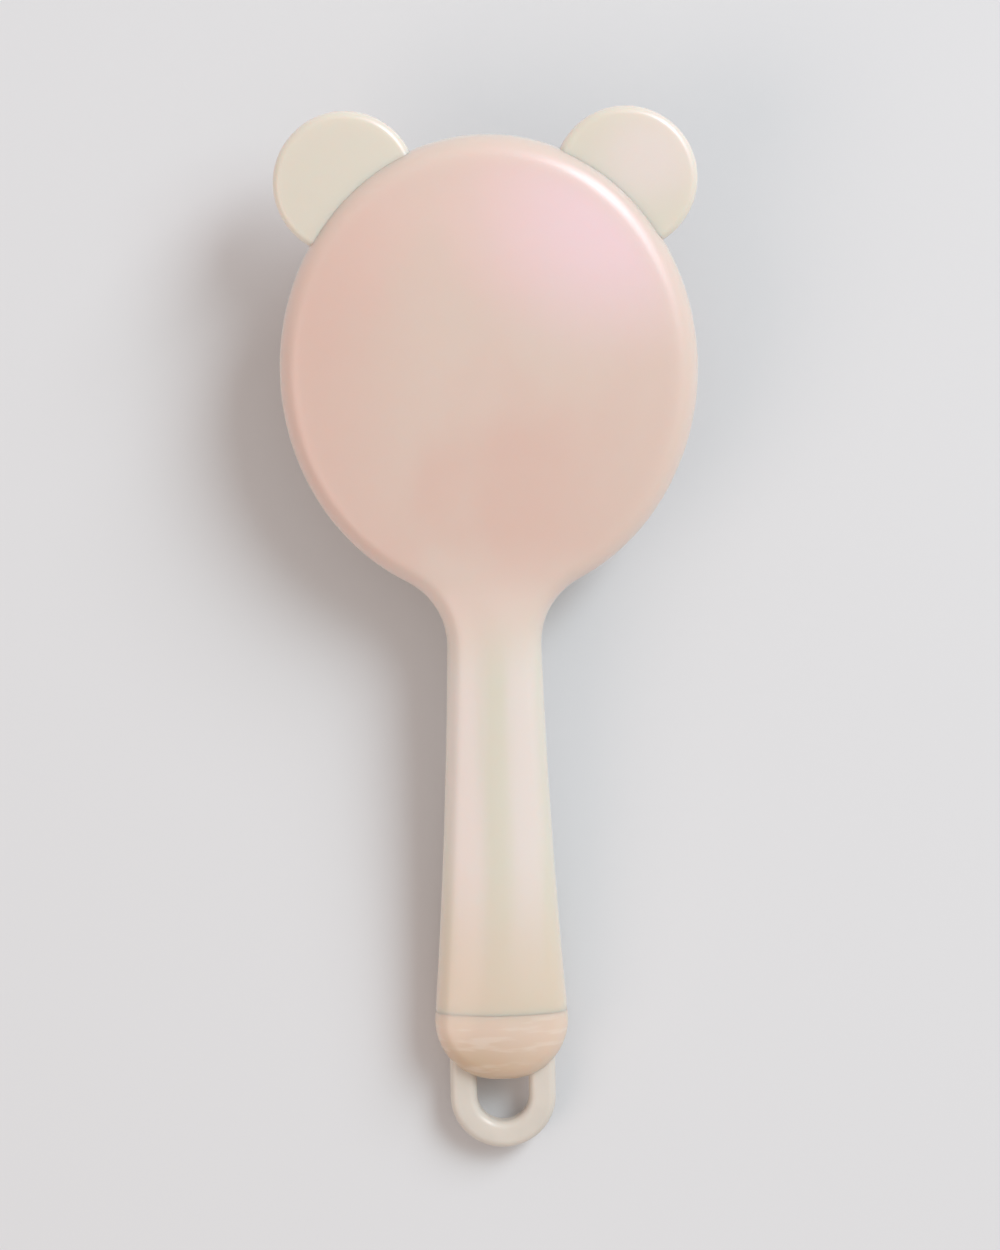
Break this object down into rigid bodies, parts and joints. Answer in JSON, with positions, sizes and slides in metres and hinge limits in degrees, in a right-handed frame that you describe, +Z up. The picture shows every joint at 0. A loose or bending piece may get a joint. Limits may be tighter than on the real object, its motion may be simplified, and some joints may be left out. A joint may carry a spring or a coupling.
{
  "type": "hairbrush",
  "caption": "Cushioned hairbrush with a smooth oval back, two round ears, a flared handle, a domed end cap and a flat hanging loop.",
  "frame": {"origin": "on the table plane under the centre of the whole brush, as it lies back upwards on its bristle tips and handle end", "axes": "+X to the right seen from above, +Y along the brush from the hanging loop to the ears, +Z up"},
  "size_m": [0.0832, 0.2064, 0.0381],
  "materials": {
    "pearl_back": "milky pearl plastic, pink over the head fading to cream",
    "pearl_front": "milky pearl plastic, cream",
    "pearl_ear": "milky pearl plastic, cream",
    "peach_cap": "peach pearl plastic",
    "loop_plastic": "satin cream plastic",
    "bezel_plastic": "satin cream plastic",
    "cushion_rubber": "matt pink soft rubber",
    "pin_nylon": "polished cream nylon",
    "screw_steel": "plated steel",
    "dowel_plastic": "natural plastic"
  },
  "bodies": {
    "body": {"back_shell": "pearl_back", "front_shell": "pearl_front", "ear_left": "pearl_ear", "ear_right": "pearl_ear", "shell_screws": "screw_steel", "cushion_bezel": "bezel_plastic", "end_cap": "peach_cap", "hanging_loop": "loop_plastic", "loop_dowel": "dowel_plastic"},
    "cushion": {"cushion_pad": "cushion_rubber", "pins_ring_0": "pin_nylon", "pins_ring_1": "pin_nylon", "pins_ring_2": "pin_nylon", "pins_ring_3": "pin_nylon", "pins_ring_4": "pin_nylon", "pins_ring_5": "pin_nylon"}
  },
  "joints": [
    {"name": "cushion_press", "type": "slide", "parent": "body", "child": "cushion", "axis": [0, -0.1402, 0.9901], "range_m": [0, 0.003], "stiffness_N_per_m": 4000, "deforming": ["cushion_pad"]}
  ]
}
